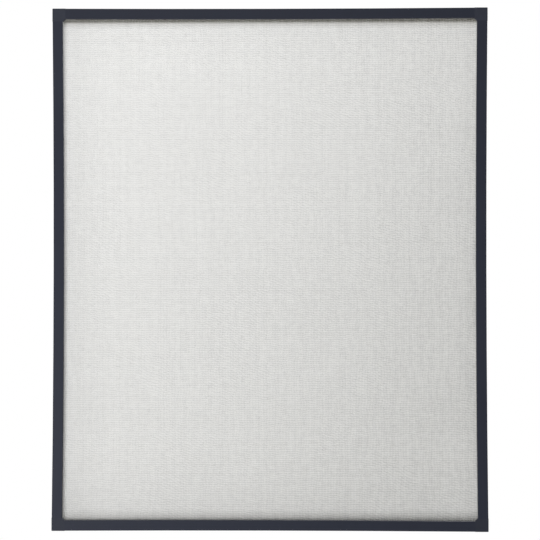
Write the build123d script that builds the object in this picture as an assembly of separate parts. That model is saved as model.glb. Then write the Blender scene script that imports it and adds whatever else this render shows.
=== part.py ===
from build123d import *
import math
import os

# Framed insect screen for a window, in millimetres.
# X is the width, Z the height, Y the depth. The front looks towards -Y, and the
# back face, which seats on the window, lies at Y = 0. The origin is its centre.

# Overall size, over the corner blocks
overall_width = 1000.0
overall_height = 1200.0
frame_depth = 11.0

# Extruded profile: u runs inwards from its outer side, d backwards from its front
face_width = 23.5
wall = 1.2
outer_edge_radius = 1.6  # made as two flats
inner_edge_radius = 0.6
back_edge_chamfer = 0.3
stile_bow = 3.4  # how far the mesh pulls each stile inwards at mid height
rail_bow = 1.4

# Groove on the back that holds the mesh and its spline
groove_width = 4.2
groove_floor = 4.2  # its depth behind the front face
lip_thickness = 1.4  # wall between the groove and the opening
lip_back = 8.2  # the mesh lies on this level
lip_chamfer = 0.3

# Slot on the back for the brush
slot_from_outside = 1.9
slot_width = 5.2
slot_height = 1.2
slot_lip = 0.9
slot_mouth = 2.6
slot_floor_wall = 1.0

# Corner block
block_length = 30.0
block_proud = 0.4  # past the outer side of the profiles
block_edge_radius = 1.4
block_corner_radius = 1.6
leg_length = 45.0
leg_fit = 0.15
leg_tip = 2.0
leg_pocket_length = 10.0
leg_pocket_depth = 3.5
leg_rib = 2.0
leg_pockets = 3

# Mesh
mesh_thickness = 0.3
ridge_width = 0.5
ridge_height = 0.12
ridge_pitch = 2.0
ridge_margin = 3.0  # plain border between the ridges and the frame
gap_columns = 10
gap_rows = 12
band_width = 23.0  # of weave between two gaps
gap_border = 0.6  # from a gap to the ridges beside it

# Spline
spline_diameter = 3.5
spline_end_gap = 0.3

# Brush
brush_play = 0.2
brush_backing = 0.8
pile_root = 1.6
pile_tip = 1.1
pile_length = 4.0  # past the back face
brush_end_gap = 0.5

# Places worked out from the sizes above
groove_end = face_width - lip_thickness
groove_start = groove_end - groove_width
chamber_end = groove_start - wall
slot_top = frame_depth - slot_lip
slot_bottom = slot_top - slot_height
chamber_back = slot_bottom - slot_floor_wall
slot_end = slot_from_outside + slot_width
rail_half = overall_width / 2 - block_length
stile_half = overall_height / 2 - block_length
spare = 60.0  # how far a bowed run goes on before it is cut square

SIDES = {
    "top": (0, overall_height, rail_half, rail_bow),
    "right": (90, overall_width, stile_half, stile_bow),
    "bottom": (180, overall_height, rail_half, rail_bow),
    "left": (270, overall_width, stile_half, stile_bow),
}
PROFILE_NAMES = {
    "top": "top_rail",
    "right": "right_stile",
    "bottom": "bottom_rail",
    "left": "left_stile",
}
CORNERS = {
    "top_right": (0, 1, 1),
    "bottom_right": (90, 1, -1),
    "bottom_left": (180, -1, -1),
    "top_left": (270, -1, 1),
}

# A section is drawn as (u, d) across a run along X whose inner side looks down
section_plane = Plane(origin=(0, -frame_depth, 0), x_dir=(0, 0, -1), z_dir=(1, 0, 0))
# A plan is drawn from a corner of the frame, or from its centre, seen from behind
plan_plane = Plane(origin=(0, 0, 0), x_dir=(-1, 0, 0), z_dir=(0, -1, 0))


def area(u_from, u_to, d_from, d_to):
    """Rectangle between two places across the section and two levels behind the front."""
    middle = ((u_from + u_to) / 2, (d_from + d_to) / 2)
    return Pos(*middle) * Rectangle(u_to - u_from, d_to - d_from)


def eased(sketch, length, u, d):
    """The section with its corner nearest to (u, d) chamfered."""
    corner = sketch.vertices().sort_by_distance((u, d, 0))[0]
    return chamfer(corner, length)


def rounding(radius, u, towards_inside):
    """Sliver between a front corner of the section at u and the two flats that round it."""
    near = radius * (1 - math.sqrt(0.5))
    outline = Polyline(
        (u, 0),
        (u + towards_inside * radius, 0),
        (u + towards_inside * near, near),
        (u, radius),
        close=True,
    )
    return make_face(outline)


def arc_radius(half_length, bow):
    return (half_length**2 + bow**2) / (2 * bow)


def bowed_run(section, side, run_half):
    """Sweeps a section along the bowed line of a side, to run_half on both sides."""
    turn, across, half_length, bow = SIDES[side]
    radius = arc_radius(half_length, bow)
    axis = Axis((0, 0, radius - bow), (0, 1, 0))
    reach = math.degrees(math.asin(run_half / radius))
    face = Pos(0, 0, -bow) * (section_plane * section)
    swept = revolve(face.rotate(axis, -reach), axis, 2 * reach)
    return Rot(0, turn, 0) * Pos(0, 0, across / 2 - block_proud) * swept


def square_run(section, side, run_half):
    """The same sweep with both ends cut square."""
    turn = SIDES[side][0]
    cut = Box(2 * run_half, 6 * frame_depth, overall_width + overall_height)
    return bowed_run(section, side, run_half + spare) & Rot(0, turn, 0) * cut


def inside_frame(u):
    """The area that the four bowed lines at u, inwards from the outer sides, leave."""
    field = Rectangle(overall_width, overall_height)
    for turn, across, half_length, bow in SIDES.values():
        radius = arc_radius(half_length, bow)
        centre = across / 2 - block_proud - bow + radius
        field -= Rot(0, 0, turn) * Pos(0, centre) * Circle(radius + u)
    return field


def slab(plan, d_from, d_to):
    """A plan given a thickness between two levels behind the front."""
    placed = plan_plane * Pos(0, 0, frame_depth - d_to) * plan
    return extrude(placed, amount=d_to - d_from, dir=(0, -1, 0))


def block_rectangle(p_from, p_to, q_from, q_to):
    """Rectangle in a corner block's plan, measured inwards from its two outer sides."""
    middle = ((p_from + p_to) / 2, (q_from + q_to) / 2)
    return Pos(*middle) * Rectangle(p_to - p_from, q_to - q_from)


def profile_section():
    section = area(0, face_width, 0, frame_depth)
    section -= area(groove_end, face_width, lip_back, frame_depth)
    section -= rounding(outer_edge_radius, 0, 1)
    section -= rounding(inner_edge_radius, face_width, -1)
    section = eased(section, back_edge_chamfer, 0, frame_depth)
    section = eased(section, lip_chamfer, face_width, lip_back)
    section -= area(groove_start, groove_end, groove_floor, frame_depth)
    section = eased(section, lip_chamfer, groove_end, lip_back)
    section = eased(section, back_edge_chamfer, groove_start, frame_depth)

    chamber = area(wall, chamber_end, wall, chamber_back)
    chamber += area(slot_end + wall, chamber_end, wall, frame_depth - wall)
    chamber += area(wall, groove_end, wall, groove_floor - wall)
    section -= chamber

    slot_middle = slot_from_outside + slot_width / 2
    slot = area(slot_from_outside, slot_end, slot_bottom, slot_top)
    mouth = area(
        slot_middle - slot_mouth / 2, slot_middle + slot_mouth / 2, slot_top, frame_depth
    )
    return section - slot - mouth


def spline_section():
    middle = groove_end - mesh_thickness - (groove_width - mesh_thickness) / 2
    level = groove_floor + mesh_thickness + spline_diameter / 2
    return Pos(middle, level) * Circle(spline_diameter / 2)


def brush_section():
    middle = slot_from_outside + slot_width / 2
    backing_half = slot_width / 2 - brush_play
    backing_top = slot_bottom + brush_backing
    backing = area(middle - backing_half, middle + backing_half, slot_bottom, backing_top)
    pile_end = frame_depth + pile_length
    outline = Polyline(
        (middle - pile_root / 2, backing_top - brush_backing / 4),
        (middle - pile_root / 2, frame_depth),
        (middle - pile_tip / 2, pile_end),
        (middle + pile_tip / 2, pile_end),
        (middle + pile_root / 2, frame_depth),
        (middle + pile_root / 2, backing_top - brush_backing / 4),
        close=True,
    )
    return backing + make_face(outline)


def corner_leg():
    """Leg into the profile that runs along the block's first side, thinner at its tip."""
    end_slope = 2 * max(stile_bow / stile_half, rail_bow / rail_half)
    outer = block_proud + wall + leg_fit
    inner = block_proud + chamber_end - leg_fit
    end = block_length + leg_length
    lean = end_slope * leg_length
    outline = Polyline(
        (block_length - wall, outer),
        (block_length, outer),
        (end - leg_tip, outer + lean),
        (end, outer + lean + leg_tip),
        (end, inner - leg_tip),
        (end - leg_tip, inner),
        (block_length - wall, inner),
        close=True,
    )
    front = wall + leg_fit
    back = chamber_back - leg_fit
    leg = slab(make_face(outline), front, back)
    step = leg_pocket_length + leg_rib
    for i in range(leg_pockets):
        start = block_length + leg_rib + i * step
        pocket = block_rectangle(
            start,
            start + leg_pocket_length,
            outer + lean + leg_rib,
            inner - leg_rib,
        )
        leg -= slab(pocket, back - leg_pocket_depth, back)
    return leg


def on_joint_plane(edge):
    """True for an edge of the two square ends that the profiles butt against."""
    middle = edge.center()
    return min(abs(middle.X + block_length), abs(middle.Z + block_length)) < leg_fit


def corner_block():
    """Corner connector with its outer corner at the origin, towards -X and -Z."""
    inner = block_proud + face_width
    outline = Polyline(
        (0, 0),
        (block_length, 0),
        (block_length, inner),
        (inner, block_length),
        (0, block_length),
        close=True,
    )
    block = slab(make_face(outline), 0, frame_depth)
    upright = block.edges().filter_by(Axis.Y).sort_by_distance((0, -frame_depth / 2, 0))[0]
    block = fillet(upright, block_corner_radius)
    front_edges = block.edges().filter_by_position(Axis.Y, -frame_depth, -frame_depth)
    free_edges = [edge for edge in front_edges if not on_joint_plane(edge)]
    block = fillet(free_edges, block_edge_radius)

    groove_from = block_proud + groove_start
    groove_to = block_proud + groove_end
    past = block_length + wall
    channel = block_rectangle(groove_from, past, groove_from, groove_to)
    channel += block_rectangle(groove_from, groove_to, groove_from, past)
    block -= slab(channel, groove_floor, frame_depth)
    block -= slab(block_rectangle(groove_to, past, groove_to, past), lip_back, frame_depth)

    leg = corner_leg()
    other_leg = mirror(leg, about=Plane((0, 0, 0), z_dir=(1, 0, -1)))
    return block + leg + other_leg


def ridge_places(reach, step, gaps):
    """Places of the ridges that run between the gaps, across a width of twice the reach."""
    last = math.floor((reach - ridge_width / 2) / ridge_pitch)
    clear = band_width / 2 - gap_border - ridge_width / 2
    places = []
    for i in range(-last, last + 1):
        place = i * ridge_pitch
        band = round(place / step + gaps / 2) - gaps / 2
        if abs(place - band * step) <= clear:
            places.append(place)
    return places


def mesh_panel():
    """One thin wall with bands of fine ridges round its gaps, turned down into the groove."""
    top = lip_back + mesh_thickness
    inner_wall = inside_frame(groove_end - mesh_thickness)
    beyond_wall = inside_frame(groove_end)
    panel = slab(inner_wall, lip_back, top)
    panel += slab(inner_wall - beyond_wall, groove_floor, lip_back)
    foot = inside_frame(groove_start + mesh_thickness) - beyond_wall
    panel += slab(foot, groove_floor, groove_floor + mesh_thickness)

    opening_width = overall_width - 2 * (block_proud + face_width + stile_bow)
    opening_height = overall_height - 2 * (block_proud + face_width + rail_bow)
    ridge_long = opening_height - 2 * ridge_margin
    ridge_wide = opening_width - 2 * ridge_margin
    step_x = opening_width / gap_columns
    step_z = opening_height / gap_rows
    uprights = Sketch() + [
        Pos(x, 0) * Rectangle(ridge_width, ridge_long)
        for x in ridge_places(ridge_wide / 2, step_x, gap_columns)
    ]
    crossing = Sketch() + [
        Pos(0, z) * Rectangle(ridge_wide, ridge_width)
        for z in ridge_places(ridge_long / 2, step_z, gap_rows)
    ]
    panel += slab(uprights, lip_back - ridge_height, lip_back)
    panel += slab(crossing, top, top + ridge_height)

    gap = Rectangle(step_x - band_width, step_z - band_width)
    gaps = GridLocations(step_x, step_z, gap_columns, gap_rows) * gap
    return panel - slab(Sketch() + gaps, lip_back - wall, top + wall)


def write(shape, node):
    export_step(shape, f"parts/{node}.step")


def main():
    os.makedirs("parts", exist_ok=True)
    profile = profile_section()
    spline = spline_section()
    brush = brush_section()
    for side, (turn, across, half_length, bow) in SIDES.items():
        write(square_run(profile, side, half_length), PROFILE_NAMES[side])
        write(square_run(brush, side, half_length - brush_end_gap), f"brush_{side}")
        past_block = block_length - block_proud - groove_start - mesh_thickness
        if side in ("left", "right"):
            past_block -= groove_width + spline_end_gap
        write(bowed_run(spline, side, half_length + past_block), f"spline_{side}")

    block = corner_block()
    for name, (turn, to_right, to_top) in CORNERS.items():
        place = Pos(to_right * overall_width / 2, 0, to_top * overall_height / 2)
        write(place * Rot(0, turn, 0) * block, f"corner_{name}")

    write(mesh_panel(), "mesh")


main()
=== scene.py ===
import contextlib
import math

import bpy
import numpy as np
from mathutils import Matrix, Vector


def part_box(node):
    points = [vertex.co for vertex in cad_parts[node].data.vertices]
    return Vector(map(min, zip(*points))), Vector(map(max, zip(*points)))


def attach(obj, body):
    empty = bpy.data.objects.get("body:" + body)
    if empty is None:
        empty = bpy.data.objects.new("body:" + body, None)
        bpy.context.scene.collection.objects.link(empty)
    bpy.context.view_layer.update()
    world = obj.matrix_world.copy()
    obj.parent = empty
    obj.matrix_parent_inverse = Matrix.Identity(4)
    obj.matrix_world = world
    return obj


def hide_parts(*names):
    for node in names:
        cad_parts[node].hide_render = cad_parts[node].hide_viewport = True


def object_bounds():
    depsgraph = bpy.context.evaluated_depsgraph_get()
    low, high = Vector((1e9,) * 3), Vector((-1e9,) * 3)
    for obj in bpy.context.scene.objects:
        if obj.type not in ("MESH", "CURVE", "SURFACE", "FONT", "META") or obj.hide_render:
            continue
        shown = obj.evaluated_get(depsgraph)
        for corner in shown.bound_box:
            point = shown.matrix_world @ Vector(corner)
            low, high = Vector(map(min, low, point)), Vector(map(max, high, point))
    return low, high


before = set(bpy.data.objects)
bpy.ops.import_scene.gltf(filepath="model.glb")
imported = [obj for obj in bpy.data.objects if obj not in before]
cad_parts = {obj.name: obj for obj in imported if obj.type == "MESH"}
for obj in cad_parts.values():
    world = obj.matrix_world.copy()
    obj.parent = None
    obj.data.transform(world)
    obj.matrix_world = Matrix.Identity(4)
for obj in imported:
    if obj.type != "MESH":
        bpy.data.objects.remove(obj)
cad_box = [list(corner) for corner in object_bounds()]

bl_info = {
    "name": "Window insect screen",
    "version": (1, 0, 0),
    "blender": (4, 5, 0),
    "location": "3D View > Sidebar > Insect screen",
    "description": "Weaves the mesh, lays splines and brushes and finishes a framed insect screen",
    "category": "Object",
}

BODY = "root"
MM = 0.001

# Sections of the frame, inwards from its outer side (u) and backwards from its front (d)
FACE_WIDTH = 23.5 * MM
FRAME_DEPTH = 11.0 * MM
LIP_BACK = 8.2 * MM
GROOVE_FLOOR = 4.2 * MM
GROOVE_END = 22.1 * MM
SPLINE_U = 19.85 * MM
SPLINE_D = 6.25 * MM
SLOT_U = 4.5 * MM
SLOT_D = 8.9 * MM
PILE_TIP_D = 15.0 * MM

PROFILES = {
    "top": "top_rail", "bottom": "bottom_rail", "left": "left_stile", "right": "right_stile"
}
UPPER_CORNERS = ("corner_top_left", "corner_top_right")
LOWER_CORNERS = ("corner_bottom_left", "corner_bottom_right")
LEVEL_SIDES = ("top", "bottom")
TURNS = {"top": 0.0, "right": 90.0, "bottom": 180.0, "left": 270.0}


def box_of(node):
    """Lowest and highest corner of a CAD node."""
    low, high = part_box(node)
    return np.array(low), np.array(high)


def side_line(side):
    """Turn, outer distance, half length and bow of one side, measured on its profile."""
    low, high = box_of(PROFILES[side])
    along, across = (0, 2) if side in LEVEL_SIDES else (2, 0)
    outer = max(abs(low[across]), abs(high[across]))
    bow = high[across] - low[across] - FACE_WIDTH
    return math.radians(TURNS[side]), outer, (high[along] - low[along]) / 2, bow


def bow_inwards(side, run):
    """How far the outer line of a side lies inwards of its ends, at a place along it."""
    _, _, half_length, bow = side_line(side)
    radius = (half_length**2 + bow**2) / (2 * bow)
    return np.sqrt(radius**2 - run**2) - (radius - bow)


def place_on_side(side, run, u, d):
    """World places of points given along a side (run) and in its section (u, d)."""
    turn, outer, half_length, bow = side_line(side)
    radius = (half_length**2 + bow**2) / (2 * bow)
    height = outer + radius - bow - np.sqrt((radius + u) ** 2 - run**2)
    cos, sin = math.cos(turn), math.sin(turn)
    return np.stack(
        [run * cos + height * sin, d - FRAME_DEPTH + 0 * run, height * cos - run * sin], axis=-1
    )


class ScreenMesh(bpy.types.PropertyGroup):
    warp_pitch: bpy.props.FloatProperty(
        name="Warp pitch", description="From one upright thread to the next",
        default=25.4 * MM / 18, unit="LENGTH",
    )
    weft_pitch: bpy.props.FloatProperty(
        name="Weft pitch", description="From one level thread to the next",
        default=25.4 * MM / 16, unit="LENGTH",
    )
    thread: bpy.props.FloatProperty(
        name="Thread", description="Diameter of a coated thread", default=0.36 * MM, unit="LENGTH",
    )
    unevenness: bpy.props.FloatProperty(
        name="Unevenness", description="Share by which threads differ in thickness and spacing",
        default=0.06, min=0.0, max=0.3, subtype="FACTOR",
    )
    colour: bpy.props.FloatVectorProperty(
        name="Mesh colour", description="Coating of the threads", subtype="COLOR",
        default=(0.50, 0.50, 0.475),
    )


class ScreenFinish(bpy.types.PropertyGroup):
    coat: bpy.props.FloatVectorProperty(
        name="Powder coat", description="Colour of the aluminium profiles", subtype="COLOR",
        default=(0.0165, 0.0188, 0.0282),
    )
    # Painted light: the upper corner blocks get a lighter copy of the plastic colour and the lower
    # ones a darker copy, for light from above; all four blocks are the same part
    upper_corner_lit: bpy.props.FloatVectorProperty(
        name="Upper corners", description="Colour of the upper corner blocks", subtype="COLOR",
        default=(0.0218, 0.0242, 0.0340),
    )
    lower_corner_shaded: bpy.props.FloatVectorProperty(
        name="Lower corners", description="Colour of the lower corner blocks", subtype="COLOR",
        default=(0.0184, 0.0207, 0.0292),
    )
    spline: bpy.props.FloatVectorProperty(
        name="Spline", description="Colour of the cords in the groove", subtype="COLOR",
        default=(0.045, 0.045, 0.047),
    )
    pile: bpy.props.FloatVectorProperty(
        name="Pile", description="Colour of the brushes", subtype="COLOR",
        default=(0.055, 0.056, 0.060),
    )


class ScreenStage(bpy.types.PropertyGroup):
    card_gap: bpy.props.FloatProperty(
        name="Card gap", description="From the back of the frame to the pale card behind it",
        default=3 * MM, unit="LENGTH",
    )
    key_distance: bpy.props.FloatProperty(
        name="Key distance", description="From the screen to the main lamp",
        default=4.6, unit="LENGTH",
    )
    key_left: bpy.props.FloatProperty(
        name="Key from the left", description="Angle of the main lamp to the left",
        default=math.radians(15), subtype="ANGLE",
    )
    key_up: bpy.props.FloatProperty(
        name="Key from above", description="Angle of the main lamp above level",
        default=math.radians(33), subtype="ANGLE",
    )


class Value:
    """A shader socket that adds Math nodes when it is used in an expression."""

    def __init__(self, nodes, socket):
        self.nodes = nodes
        self.socket = socket

    def maths(self, operation, *given):
        settings = {"operation": operation}
        return self.nodes.value("ShaderNodeMath", 0, settings, dict(enumerate(given)))

    def __add__(self, other):
        return self.maths("ADD", self, other)

    __radd__ = __add__

    def __sub__(self, other):
        return self.maths("SUBTRACT", self, other)

    def __rsub__(self, other):
        return self.maths("SUBTRACT", other, self)

    def __mul__(self, other):
        return self.maths("MULTIPLY", self, other)

    __rmul__ = __mul__

    def __pow__(self, other):
        return self.maths("POWER", self, other)

    def at_least(self, other):
        return self.maths("MAXIMUM", self, other)

    def sine(self):
        return self.maths("SINE", self)


class Nodes:
    """The node tree of a material or of the world, with one method for any node."""

    def __init__(self, owner):
        owner.use_nodes = True
        self.tree = owner.node_tree
        self.tree.nodes.clear()

    def node(self, kind, settings=None, inputs=None):
        made = self.tree.nodes.new(kind)
        for name, setting in (settings or {}).items():
            setattr(made, name, setting)
        for name, given in (inputs or {}).items():
            if isinstance(given, Value):
                self.tree.links.new(given.socket, made.inputs[name])
            else:
                made.inputs[name].default_value = given
        return made

    def value(self, kind, output, settings=None, inputs=None):
        """One output of a node, ready for expressions."""
        return Value(self, self.node(kind, settings, inputs).outputs[output])

    def place(self):
        """Place on the object, in metres from the origin."""
        return self.value("ShaderNodeTexCoord", "Object")

    def along(self, axis):
        """How far a point lies from the origin along an axis."""
        return self.value("ShaderNodeSeparateXYZ", axis, {}, {"Vector": self.place()})

    def noise(self, scale, detail=2.0, roughness=0.5, stretch=(1, 1, 1)):
        stretched = self.value(
            "ShaderNodeMapping", "Vector", {}, {"Vector": self.place(), "Scale": stretch}
        )
        return self.value(
            "ShaderNodeTexNoise", 0, {},
            {"Vector": stretched, "Scale": scale, "Detail": detail, "Roughness": roughness},
        )

    def bands(self, measure, period, drift, strength):
        """Soft bands along a measure, above and below 0, whose places drift by a noise."""
        return strength * (measure * (2 * math.pi / period) + drift).sine()

    def ramp(self, measure, start, end, kind="LINEAR"):
        """Rises from 0 where a measure is at its start to 1 at its end."""
        return self.value(
            "ShaderNodeMapRange", "Result", {"interpolation_type": kind},
            {"Value": measure, "From Min": start, "From Max": end},
        )

    def tinted(self, share, first, second):
        """Colour between two others, by a share from 0 to 1."""
        inputs = {0: share}
        for socket, colour in ((6, first), (7, second)):
            inputs[socket] = colour if isinstance(colour, Value) else (*colour, 1)
        return self.value("ShaderNodeMix", 2, {"data_type": "RGBA"}, inputs)

    def blended(self, share, first, second):
        """Shader between two others, by a share from 0 to 1."""
        return self.value("ShaderNodeMixShader", 0, {}, {0: share, 1: first, 2: second})


class Finish(Nodes):
    """A material under construction."""

    def __init__(self, name):
        self.material = bpy.data.materials.new(name)
        super().__init__(self.material)

    def shown(self, shader):
        self.node("ShaderNodeOutputMaterial", {}, {"Surface": shader})
        return self.material

    def surface(self, bump=None, bump_height=0.0, **sockets):
        """Coated, moulded or woven surface, from the Principled shader's sockets."""
        inputs = {name.replace("_", " "): given for name, given in sockets.items()}
        if bump is not None:
            inputs["Normal"] = self.value(
                "ShaderNodeBump", "Normal", {},
                {"Height": bump, "Strength": 1.0, "Distance": bump_height},
            )
        return self.shown(self.value("ShaderNodeBsdfPrincipled", "BSDF", {}, inputs))


def shade_of(colour, factor):
    """A colour made darker or lighter by a factor."""
    return tuple(channel * factor for channel in colour)


def powder_coat(name, colour):
    """Satin powder coat: a fine orange peel, a little cloudiness and slight handling marks."""
    finish = Finish(name)
    clouds = finish.noise(scale=9.0, detail=4.0, roughness=0.6)
    peel = finish.noise(scale=1400.0, roughness=0.45)
    marks = finish.noise(scale=60.0, detail=5.0, roughness=0.7, stretch=(1, 1, 0.25))
    return finish.surface(
        bump=peel,
        bump_height=0.03 * MM,
        Base_Color=finish.tinted(
            clouds * 0.6 + marks * 0.4, shade_of(colour, 0.82), shade_of(colour, 1.22)
        ),
        Roughness=0.42 + 0.16 * marks + 0.05 * peel,
        Specular_IOR_Level=0.08,
    )


def moulded_plastic(name, colour):
    """Spark-eroded plastic with a fine even grain and faint flow marks."""
    finish = Finish(name)
    grain = finish.noise(scale=2600.0, detail=3.0, roughness=0.6)
    flow = finish.noise(scale=45.0, detail=3.0, roughness=0.55)
    return finish.surface(
        bump=grain,
        bump_height=0.05 * MM,
        Base_Color=finish.tinted(flow, shade_of(colour, 0.86), shade_of(colour, 1.2)),
        Roughness=0.48 + 0.14 * grain + 0.06 * flow,
        Specular_IOR_Level=0.09,
    )


def thread_coating(name, colour):
    """Coated glass yarn with faint twist, its tone uneven where threads lie looser or tighter.

    Fine bands run level on the level threads and upright on the upright ones, broad bands
    run between them, and patches pulled askew carry slanted bands.
    """
    askew_across, askew_up = 0.44, 0.9
    middle_strength, rise_to_right = 0.93, 0.62

    finish = Finish(name)
    tone = finish.value("ShaderNodeAttribute", "Fac", {"attribute_name": "thread_tone"})
    upright = finish.value("ShaderNodeAttribute", "Fac", {"attribute_name": "thread_upright"})
    twist = finish.noise(scale=1500.0, detail=1.0)
    level_drift = finish.noise(scale=46.0, detail=1.0, stretch=(1.15, 1, 0.6))
    upright_drift = finish.noise(scale=44.0, detail=1.0, stretch=(0.5, 1, 0.8))
    slow_drift = finish.noise(scale=26.0, detail=1.0, stretch=(1, 1, 0.5))
    ripples = finish.noise(scale=230.0, detail=0.0, stretch=(0.5, 1, 1)) - 0.5
    patches = finish.ramp(finish.noise(scale=7.0, detail=1.0), 0.44, 0.6)
    across, up = finish.along("X"), finish.along("Z")

    level_bands = finish.bands(up, 5.05 * MM, drift=8.0 * level_drift, strength=0.73)
    level_bands += finish.bands(up, 24 * MM, drift=14.0 * upright_drift, strength=0.12)
    upright_bands = finish.bands(across, 6.4 * MM, drift=9.0 * upright_drift, strength=0.215)
    upright_bands += finish.bands(across, 21 * MM, drift=14.0 * slow_drift, strength=0.11)
    slant = askew_across * across + askew_up * up
    askew = finish.bands(slant, 6.5 * MM, drift=15.0 * slow_drift, strength=0.20 * patches)
    slack = level_bands + (upright_bands - level_bands) * upright + askew + 0.6 * ripples
    slack = slack * (middle_strength + rise_to_right * across)
    share = 0.5 + 0.08 * (tone - 0.5) + slack + 0.1 * (twist - 0.5)
    return finish.surface(
        bump=twist,
        bump_height=0.04 * MM,
        Base_Color=finish.tinted(share, shade_of(colour, 0.55), shade_of(colour, 1.45)),
        Roughness=0.5 + 0.15 * twist,
        Specular_IOR_Level=0.3,
    )


def soft_cord(name, colour):
    """Soft extruded cord, matt with a little bloom."""
    finish = Finish(name)
    bloom = finish.noise(scale=35.0, detail=4.0, roughness=0.6)
    skin = finish.noise(scale=1800.0)
    return finish.surface(
        bump=skin,
        bump_height=0.03 * MM,
        Base_Color=finish.tinted(bloom, shade_of(colour, 0.8), shade_of(colour, 1.35)),
        Roughness=0.62 + 0.15 * bloom,
        Specular_IOR_Level=0.3,
    )


def pile_fibre(name, colour):
    """Fine fibres, each clump a little lighter or darker than the next."""
    finish = Finish(name)
    clumps = finish.noise(scale=900.0, roughness=0.6)
    patches = finish.noise(scale=25.0, detail=3.0)
    return finish.surface(
        Base_Color=finish.tinted(
            clumps * 0.7 + patches * 0.3, shade_of(colour, 0.55), shade_of(colour, 1.7)
        ),
        Roughness=0.75 + 0.15 * clumps,
        Specular_IOR_Level=0.2,
        Sheen_Weight=0.25,
    )


@contextlib.contextmanager
def editing():
    """Edit mode on the active piece, with all of it selected."""
    bpy.ops.object.mode_set(mode="EDIT")
    bpy.ops.mesh.select_all(action="SELECT")
    yield
    bpy.ops.object.mode_set(mode="OBJECT")


def deselect_all():
    bpy.ops.object.select_all(action="DESELECT")


def named(name):
    """The primitive just added, given its name."""
    made = bpy.context.object
    made.name = name
    made.data.name = name
    return made


def points_of(piece):
    """Places of a piece's points, as rows of an array."""
    flat = np.empty(len(piece.data.vertices) * 3)
    piece.data.vertices.foreach_get("co", flat)
    return flat.reshape(-1, 3)


def move_points(piece, places):
    piece.data.vertices.foreach_set("co", np.ascontiguousarray(places).ravel())
    piece.data.update()


def cut_across(half, spans):
    """Cuts a piece in edit mode into equal spans along X, from -half to half."""
    for i in range(1, spans):
        bpy.ops.mesh.select_all(action="SELECT")
        bpy.ops.mesh.bisect(plane_co=(-half + 2 * half * i / spans, 0, 0), plane_no=(1, 0, 0))


def put_on_side(piece, side, u, d):
    """Bends a piece made straight along X about the origin onto the bowed line of a side."""
    local = points_of(piece)
    move_points(piece, place_on_side(side, local[:, 0], u + local[:, 2], d + local[:, 1]))
    with editing():
        bpy.ops.mesh.normals_make_consistent(inside=False)


def thread_rows(half, pitch, unevenness, draw):
    """Places of parallel threads across a width, with slightly uneven spacing."""
    window = 25  # threads over which the spacing drifts
    own_share, drift_share = 0.55, 0.8
    count = int(2 * half / pitch)
    places = (np.arange(count) - (count - 1) / 2) * pitch
    drift = np.convolve(
        draw.normal(0, 1, count + window - 1), np.hanning(window) / math.sqrt(window), "valid"
    )
    uneven = draw.normal(0, own_share, count) + drift_share * drift
    return places + pitch * unevenness * uneven


def tubes(paths, radii, sides):
    """Closed tubes along many paths of equal length: points, side faces and end faces."""
    steep, flat = 0.3, 0.5  # shares of a step square to the depth
    threads, stops, _ = paths.shape
    ahead = np.gradient(paths, axis=1)
    ahead /= np.linalg.norm(ahead, axis=2, keepdims=True)
    depth = np.array([0.0, 1.0, 0.0])
    across = np.cross(ahead, depth)
    plain = np.linalg.norm(across, axis=2, keepdims=True)
    first = np.where(plain[:, :1] > flat, across[:, :1], across[:, 1:2])
    across = np.where(plain > steep, across, first)
    across /= np.linalg.norm(across, axis=2, keepdims=True)
    up = np.cross(across, ahead)
    angle = 2 * math.pi * (np.arange(sides) + 0.5) / sides
    ring = (
        np.cos(angle)[None, None, :, None] * across[:, :, None, :]
        + np.sin(angle)[None, None, :, None] * up[:, :, None, :]
    )
    points = paths[:, :, None, :] + radii[:, None, None, None] * ring
    start = np.arange(threads)[:, None, None] * stops * sides
    level = np.arange(stops - 1)[None, :, None] * sides
    spot = np.arange(sides)[None, None, :]
    after = (spot + 1) % sides
    quads = np.stack(
        [start + level + spot, start + level + after,
         start + level + sides + after, start + level + sides + spot], axis=-1
    ).reshape(-1, 4)
    lids = np.arange(threads)[:, None] * stops * sides + np.arange(sides)[None, :]
    ends = np.concatenate([lids[:, ::-1], lids + (stops - 1) * sides])
    return points.reshape(-1, 3), quads, ends


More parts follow.
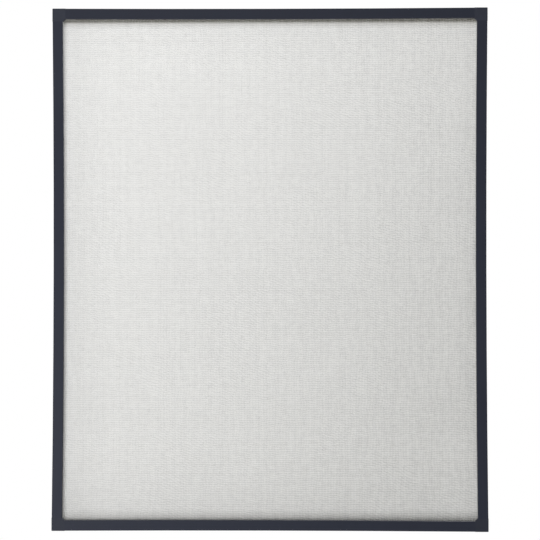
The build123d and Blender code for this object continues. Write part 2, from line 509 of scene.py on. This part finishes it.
class SCREEN_OT_weave(bpy.types.Operator):
    """Weave the insect mesh, stretched over the lip of the frame and into its groove"""

    bl_idname = "insect_screen.weave"
    bl_label = "Weave the mesh"

    spans = 8
    sides = 6
    wander = 0.05 * MM
    wander_window = 61
    tone_spread = 0.22
    crimp = 1 / 3  # of a thread's diameter, forwards and backwards

    def execute(self, context):
        mesh = context.scene.insect_screen_mesh
        draw = np.random.default_rng(18)
        level = LIP_BACK - FRAME_DEPTH + mesh.thread / 2 + self.crimp * mesh.thread
        wall_u = GROOVE_END - mesh.thread / 2
        wide = side_line("right")[1] - wall_u
        high = side_line("top")[1] - wall_u
        end_level = GROOVE_FLOOR + mesh.thread - FRAME_DEPTH

        def pulled(places, side, run):
            """Threads near a side follow its bow, those in the middle stay straight."""
            reach = wide if side == "right" else high
            return places * (1 - bow_inwards(side, run) / reach)

        def laid(rows, along, upright):
            """Paths of one set of threads, ending in the groove on both sides."""
            steps = np.linspace(-1, 1, self.spans + 1)
            turned = np.concatenate([steps[:1], steps, steps[-1:]])
            run = turned[None, :] * along * np.ones((len(rows), 1))
            cross = rows[:, None] * np.ones_like(run)
            steps_aside = np.cumsum(draw.normal(0, 1, (len(rows), len(turned))), axis=1)
            window = np.hanning(self.wander_window) / (self.wander_window // 2)
            smooth = np.stack(
                [np.convolve(column, window, "same") for column in steps_aside.T], axis=1
            )
            fade = (1 - turned**2)[None, :]
            cross = cross + self.wander * smooth * fade
            x, z = (cross, run) if upright else (run, cross)
            x, z = pulled(x, "right", z), pulled(z, "top", x)
            over = np.zeros(len(rows))
            if upright:
                over = np.where(np.arange(len(rows)) % 2, 1.0, -1.0)
            y = level + over[:, None] * self.crimp * mesh.thread + 0 * x
            y[:, [0, -1]] = end_level
            return np.stack([x, y, z], axis=-1)

        warp = thread_rows(wide, mesh.warp_pitch, mesh.unevenness, draw)
        weft = thread_rows(high, mesh.weft_pitch, mesh.unevenness, draw)
        paths = np.concatenate([laid(warp, high, True), laid(weft, wide, False)])
        spread = np.clip(draw.normal(0, 1, len(paths)), -2, 2)
        radii = mesh.thread / 2 * (1 + mesh.unevenness * spread)
        radii *= mesh.thread / 2 / radii.mean()
        points, quads, ends = tubes(paths, radii, self.sides)

        data = bpy.data.meshes.new("mesh_weave")
        corners = np.concatenate([quads.ravel(), ends.ravel()])
        sizes = np.concatenate([np.full(len(quads), 4), np.full(len(ends), self.sides)])
        data.vertices.add(len(points))
        data.vertices.foreach_set("co", points.ravel())
        data.loops.add(len(corners))
        data.loops.foreach_set("vertex_index", corners)
        data.polygons.add(len(sizes))
        data.polygons.foreach_set("loop_start", np.concatenate([[0], np.cumsum(sizes)[:-1]]))
        data.update(calc_edges=True)
        data.validate()
        tone = np.clip(0.5 + self.tone_spread * draw.normal(0, 1, len(paths)), 0, 1)
        upright = np.arange(len(paths)) < len(warp)
        for name, each in (("thread_tone", tone), ("thread_upright", upright)):
            layer = data.attributes.new(name, "FLOAT", "POINT")
            values = np.repeat(each, paths.shape[1] * self.sides)
            layer.data.foreach_set("value", values.astype("f"))
        data.shade_smooth()

        deselect_all()
        piece = bpy.data.objects.new("mesh_weave", data)
        context.scene.collection.objects.link(piece)
        context.view_layer.objects.active = piece
        piece.select_set(True)
        with editing():
            bpy.ops.mesh.normals_make_consistent(inside=False)
        data.materials.append(thread_coating("coated_yarn", mesh.colour))

        drop = LIP_BACK - GROOVE_FLOOR
        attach(piece, BODY)
        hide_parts("mesh")
        2 * (wide + drop)
        2 * (high + drop)
        return {"FINISHED"}


class SCREEN_OT_splines(bpy.types.Operator):
    """Lay a ribbed cord into the groove of each side"""

    bl_idname = "insect_screen.splines"
    bl_label = "Lay the splines"

    ribs = 14
    rib_foot = 0.86  # of the cord's radius
    rib_angle = math.radians(40)
    spans = 16

    def execute(self, context):
        cord = soft_cord("soft_cord", context.scene.insect_screen_finish.spline)
        for side in PROFILES:
            low, high = box_of(f"spline_{side}")
            along = 0 if side in LEVEL_SIDES else 2
            half = (high[along] - low[along]) / 2
            radius = (high[1] - low[1]) / 2
            lines = 4 * self.ribs
            deselect_all()
            bpy.ops.mesh.primitive_cylinder_add(
                vertices=lines, radius=radius, depth=2 * half, rotation=(0, math.pi / 2, 0)
            )
            piece = named(f"spline_{side}_cord")
            bpy.ops.object.transform_apply(location=True, rotation=True, scale=True)
            with editing():
                cut_across(half, self.spans)

            # Every other pair of lines along the cord lies a little deeper, between two ribs
            local = points_of(piece)
            turn = np.round(np.arctan2(local[:, 1], local[:, 2]) / (2 * math.pi) * lines)
            between = np.isin(turn.astype(int) % 4, (1, 2))
            local[between, 1:] *= self.rib_foot
            move_points(piece, local)
            bpy.ops.object.shade_smooth_by_angle(angle=self.rib_angle)
            put_on_side(piece, side, SPLINE_U, SPLINE_D)
            piece.data.materials.append(cord)
            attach(piece, BODY)
            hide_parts(f"spline_{side}")
        return {"FINISHED"}


class SCREEN_OT_brushes(bpy.types.Operator):
    """Fit a strip of pile into the slot of each side"""

    bl_idname = "insect_screen.brushes"
    bl_label = "Fit the brushes"

    spans = 16
    rows = 3
    pitch = 0.85 * MM
    fibre = 0.3 * MM
    backing_wide = 4.8 * MM
    backing_thick = 0.8 * MM
    backing_edge = 0.15 * MM
    lean = 0.22 * MM
    shortest = 0.09  # of a tuft's height, less than the tallest
    pile_half = 1.1 * MM

    def execute(self, context):
        finish = context.scene.insect_screen_finish
        pile = pile_fibre("pile_fibre", finish.pile)
        tape = soft_cord("woven_tape", finish.pile)
        draw = np.random.default_rng(5)
        for side in PROFILES:
            low, high = box_of(f"brush_{side}")
            along = 0 if side in LEVEL_SIDES else 2
            half = (high[along] - low[along]) / 2
            backing = self.strip(side, half)
            tufts = self.tufts(side, half, draw)
            backing.data.materials.append(tape)
            tufts.data.materials.append(pile)
            deselect_all()
            tufts.select_set(True)
            backing.select_set(True)
            context.view_layer.objects.active = tufts
            bpy.ops.object.join()
            piece = named(f"brush_{side}_pile")
            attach(piece, BODY)
            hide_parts(f"brush_{side}")
        return {"FINISHED"}

    def strip(self, side, half):
        """The woven tape that slides in the slot."""
        deselect_all()
        bpy.ops.mesh.primitive_cube_add(size=1, location=(0, self.backing_thick / 2, 0))
        piece = named(f"tape_{side}")
        piece.scale = (2 * half, self.backing_thick, self.backing_wide)
        bpy.ops.object.transform_apply(location=True, rotation=True, scale=True)
        with editing():
            bpy.ops.mesh.bevel(offset=self.backing_edge, segments=2, affect="EDGES")
            cut_across(half, self.spans)
        put_on_side(piece, side, SLOT_U, SLOT_D)
        return piece

    def tufts(self, side, half, draw):
        """Rows of tapered tufts, each leaning a little its own way."""
        tall = PILE_TIP_D - SLOT_D - self.backing_thick / 2
        row_gap = 1.6 * self.fibre
        count = int((2 * half - self.fibre) / self.pitch)
        deselect_all()
        bpy.ops.mesh.primitive_cone_add(
            vertices=3, radius1=self.fibre, radius2=self.fibre / 3, depth=tall,
            rotation=(-math.pi / 2, 0, 0), location=(0, tall / 2, 0),
        )
        piece = named(f"tufts_{side}")
        bpy.ops.object.transform_apply(location=True, rotation=True, scale=True)
        with editing():
            bpy.ops.transform.translate(value=(-(count - 1) * self.pitch / 2, 0, -row_gap))
        for name, times, offset in (
            ("rows", self.rows, (self.pitch / self.rows, 0, row_gap)),
            ("length", count, (self.pitch, 0, 0)),
        ):
            array = piece.modifiers.new(name, "ARRAY")
            array.count = times
            array.use_relative_offset = False
            array.use_constant_offset = True
            array.constant_offset_displace = offset
            bpy.ops.object.modifier_apply(modifier=name)
        local = points_of(piece)
        each = len(local) // (self.rows * count)
        lean = np.repeat(draw.normal(0, self.lean, (self.rows * count, 2)), each, axis=0)
        short = np.repeat(draw.uniform(0, self.shortest, self.rows * count), each)
        share = np.clip(local[:, 1] / tall, 0, 1)
        local[:, 0] = np.clip(local[:, 0] + lean[:, 0] * share, -half, half)
        local[:, 2] = np.clip(local[:, 2] + lean[:, 1] * share, -self.pile_half, self.pile_half)
        local[:, 1] *= 1 - short * share
        move_points(piece, local)
        put_on_side(piece, side, SLOT_U, SLOT_D + self.backing_thick / 2)
        return piece


class SCREEN_OT_finish(bpy.types.Operator):
    """Give the profiles and corner blocks their finish"""

    bl_idname = "insect_screen.finish"
    bl_label = "Finish the frame"

    def execute(self, context):
        finish = context.scene.insect_screen_finish
        coat = powder_coat("satin_powder_coat", finish.coat)
        # Painted light: a lighter copy of the plastic for the upper corner blocks and a darker
        # copy for the lower ones
        upper = moulded_plastic("grained_plastic_upper_lit", finish.upper_corner_lit)
        lower = moulded_plastic("grained_plastic_lower_shaded", finish.lower_corner_shaded)
        for nodes, material in (
            (PROFILES.values(), coat), (UPPER_CORNERS, upper), (LOWER_CORNERS, lower)
        ):
            for node in nodes:
                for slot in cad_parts[node].material_slots:
                    slot.material = material
        return {"FINISHED"}


class SCREEN_OT_stage(bpy.types.Operator):
    """Set up the pale card, the floor, the lamps and the camera"""

    bl_idname = "insect_screen.stage"
    bl_label = "Set the stage"

    image_side = 540  # pixels
    focal_pixels = 1307.4
    camera_place = (0.0406, -3.0060, -0.0359)
    camera_pitch = math.radians(0.648)
    camera_yaw = math.radians(0.757)
    low_lamp_place = (-1.45, -2.5, -0.98)
    back_lamp_place = (1.6, 3.4, 1.5)
    world_level = 0.205
    floor_drop = 0.55
    floor_radius = 2.2
    floor_plain = 1.4
    floor_greys = ((0.88, 0.88, 0.88), (0.92, 0.92, 0.92))
    # Card colours: card_dark is the painted shade at the foot, the warm and line colours are the
    # painted shadow under the top rail, and the glow numbers give the painted light
    card_white = (0.70, 0.698, 0.70)
    card_dark = (0.02, 0.02, 0.018)
    card_warm_shadow = (0.26, 0.20, 0.11)
    card_shadow_line = (0.05, 0.04, 0.012)
    paper_shade = 0.05
    shade_reach = 30 * MM
    foot_shade, foot_falloff, foot_to_right, foot_dimming = 0.72, 2, 0.5, 0.9
    head_warmth, head_falloff = 0.7, 4
    line_shade, line_start, line_end = 0.9, 5.5 * MM, 9 * MM
    glow_middle, glow_to_left, glow_to_top, glow_to_middle = 0.189, 0.184, 0.289, 0.12
    glow_start, glow_full = 4 * MM, 22 * MM

    def execute(self, context):
        stage = context.scene.insect_screen_stage
        scene = context.scene
        self.camera(scene)
        self.card(stage)
        self.floor(cad_box[0][2] - self.floor_drop)
        towards = np.array([
            -math.sin(stage.key_left) * math.cos(stage.key_up),
            -math.cos(stage.key_left) * math.cos(stage.key_up),
            math.sin(stage.key_up),
        ])
        self.lamp("key_lamp", towards * stage.key_distance, size=(2.2, 0.5), power=107.0)
        self.lamp("low_lamp", self.low_lamp_place, size=(0.9, 0.3), power=59.0)
        self.lamp("back_lamp", self.back_lamp_place, size=(2.0, 1.2), power=140.0)
        self.world(scene)
        scene.view_settings.view_transform = "Standard"
        return {"FINISHED"}

    def camera(self, scene):
        data = bpy.data.cameras.new("camera")
        data.sensor_width = 36.0
        data.lens = self.focal_pixels / self.image_side * data.sensor_width
        camera = bpy.data.objects.new("camera", data)
        camera.location = self.camera_place
        camera.rotation_euler = (math.pi / 2 + self.camera_pitch, 0, self.camera_yaw)
        scene.collection.objects.link(camera)
        scene.camera = camera

    def card(self, stage):
        """Pale card close behind the mesh, shown to the camera from its front side only.

        It is nearly white, with painted light strongest at the top left, painted shade towards
        the bottom rail and a warm painted shadow with a dark painted line under the top one.
        """
        low, high = (np.array(corner) for corner in cad_box)
        inset = 10 * MM
        deselect_all()
        bpy.ops.mesh.primitive_plane_add(
            size=1, location=(0, stage.card_gap, 0), rotation=(math.pi / 2, 0, 0)
        )
        card = named("pale_card")
        card.scale = (high[0] - low[0] - 2 * inset, high[2] - low[2] - 2 * inset, 1)
        bpy.ops.object.transform_apply(location=True, rotation=True, scale=True)

        finish = Finish("pale_card")
        paper = finish.noise(scale=6.0, detail=3.0)
        across, up = finish.along("X"), finish.along("Z")
        rail = card.dimensions[2] / 2 - FACE_WIDTH + inset
        # Painted shade darker towards the bottom rail, more to the right, and a warm painted
        # shadow under the top rail, each rising over a reach from the rail's inner edge
        foot_painted_shade, head = (
            finish.ramp(up * way, rail - self.shade_reach, rail) ** falloff
            for way, falloff in ((-1, self.foot_falloff), (1, self.head_falloff))
        )
        foot_painted_shade = foot_painted_shade * (1 + self.foot_to_right * across)
        dark = self.foot_shade * foot_painted_shade + self.paper_shade * paper
        colour = finish.tinted(dark, self.card_white, self.card_dark)
        # Painted shadow of the top rail, warm and dark
        colour = finish.tinted(self.head_warmth * head, colour, self.card_warm_shadow)
        # Painted shadow: a dark line just under the top rail
        line = finish.ramp(up, rail - self.line_end, rail - self.line_start)
        colour = finish.tinted(self.line_shade * line, colour, self.card_shadow_line)
        matt = finish.value("ShaderNodeBsdfDiffuse", 0, {}, {"Color": colour})

        # Light on the card by place, in metres from its middle
        slope = self.glow_middle - self.glow_to_left * across + self.glow_to_top * up
        slope = slope - self.glow_to_middle * across * across
        # Painted shadow under the top rail, where the glow is cut off; the glow is also dimmed by
        # the painted shade at the foot
        below_rail = finish.ramp(up, rail - self.glow_start, rail - self.glow_full)
        glow = slope.at_least(0.0) * (1 - self.foot_dimming * foot_painted_shade) * below_rail
        white = finish.value("ShaderNodeEmission", 0, {}, {"Strength": glow})
        front = finish.value("ShaderNodeAddShader", 0, {}, {0: matt, 1: white})
        clear = finish.value("ShaderNodeBsdfTransparent", 0)
        seen = finish.value("ShaderNodeLightPath", "Is Camera Ray")
        seen = seen * (1 - finish.value("ShaderNodeNewGeometry", "Backfacing"))
        card.data.materials.append(finish.shown(finish.blended(seen, clear, front)))

    def floor(self, level):
        """Pale floor that runs out into the white around it."""
        deselect_all()
        bpy.ops.mesh.primitive_circle_add(
            vertices=96, radius=self.floor_radius, fill_type="NGON", location=(0, 0, level)
        )
        floor = named("pale_floor")
        bpy.ops.object.transform_apply(location=True, rotation=True, scale=True)

        finish = Finish("pale_floor")
        distance = finish.value(
            "ShaderNodeVectorMath", "Value", {"operation": "LENGTH"}, {0: finish.place()}
        )
        rim = finish.ramp(distance, self.floor_plain, self.floor_radius, kind="SMOOTHSTEP")
        speckle = finish.noise(scale=40.0, detail=3.0)
        colour = finish.tinted(speckle, *self.floor_greys)
        pale = finish.value("ShaderNodeBsdfDiffuse", 0, {}, {"Color": colour})
        white = finish.value("ShaderNodeEmission", 0, {}, {"Strength": 1.0})
        floor.data.materials.append(finish.shown(finish.blended(rim, pale, white)))

    def lamp(self, name, place, size, power):
        """A flat lamp that faces the middle of the screen."""
        data = bpy.data.lights.new(name, "AREA")
        data.shape = "RECTANGLE"
        data.size, data.size_y = size
        data.energy = power
        lamp = bpy.data.objects.new(name, data)
        lamp.location = place
        x, y, z = place
        lamp.rotation_euler = (math.atan2(math.hypot(x, y), z), 0, math.atan2(x, -y))
        bpy.context.scene.collection.objects.link(lamp)

    def world(self, scene):
        """Even soft light on the object, and plain white where the camera looks past it."""
        world = bpy.data.worlds.new("studio")
        scene.world = world
        nodes = Nodes(world)
        path = nodes.node("ShaderNodeLightPath")
        camera, mirrored, through = (
            Value(nodes, path.outputs[f"Is {kind} Ray"])
            for kind in ("Camera", "Glossy", "Transmission")
        )
        strength = nodes.value(
            "ShaderNodeMapRange", "Result", {},
            {
                "Value": camera.at_least(mirrored.at_least(through)),
                "To Min": self.world_level,
                "To Max": 1.0,
            },
        )
        sky = nodes.value(
            "ShaderNodeBackground", 0, {}, {"Color": (1, 1, 1, 1), "Strength": strength}
        )
        nodes.node("ShaderNodeOutputWorld", {}, {"Surface": sky})


OPERATORS = (
    SCREEN_OT_finish, SCREEN_OT_weave, SCREEN_OT_splines, SCREEN_OT_brushes, SCREEN_OT_stage
)
SETTINGS = {
    "insect_screen_mesh": ScreenMesh,
    "insect_screen_finish": ScreenFinish,
    "insect_screen_stage": ScreenStage,
}


class SCREEN_PT_panel(bpy.types.Panel):
    """Sizes and colours of the screen, and its steps"""

    bl_idname = "SCREEN_PT_panel"
    bl_label = "Insect screen"
    bl_space_type = "VIEW_3D"
    bl_region_type = "UI"
    bl_category = "Insect screen"

    def draw(self, context):
        for name, group in SETTINGS.items():
            box = self.layout.box()
            for setting in group.__annotations__:
                box.prop(getattr(context.scene, name), setting)
        for operator in OPERATORS:
            self.layout.operator(operator.bl_idname)


def register():
    for group in SETTINGS.values():
        bpy.utils.register_class(group)
    for name, group in SETTINGS.items():
        setattr(bpy.types.Scene, name, bpy.props.PointerProperty(type=group))
    for shown in (*OPERATORS, SCREEN_PT_panel):
        bpy.utils.register_class(shown)


def unregister():
    for shown in (SCREEN_PT_panel, *reversed(OPERATORS)):
        bpy.utils.unregister_class(shown)
    for name, group in SETTINGS.items():
        delattr(bpy.types.Scene, name)
        bpy.utils.unregister_class(group)


def main():
    register()
    for name in ("Cube", "Light", "Camera"):
        if name in bpy.data.objects:
            bpy.data.objects.remove(bpy.data.objects[name])
    bpy.ops.insect_screen.finish()
    bpy.ops.insect_screen.weave()
    bpy.ops.insect_screen.splines()
    bpy.ops.insect_screen.brushes()
    bpy.ops.insect_screen.stage()


if __name__ == "__main__":
    main()
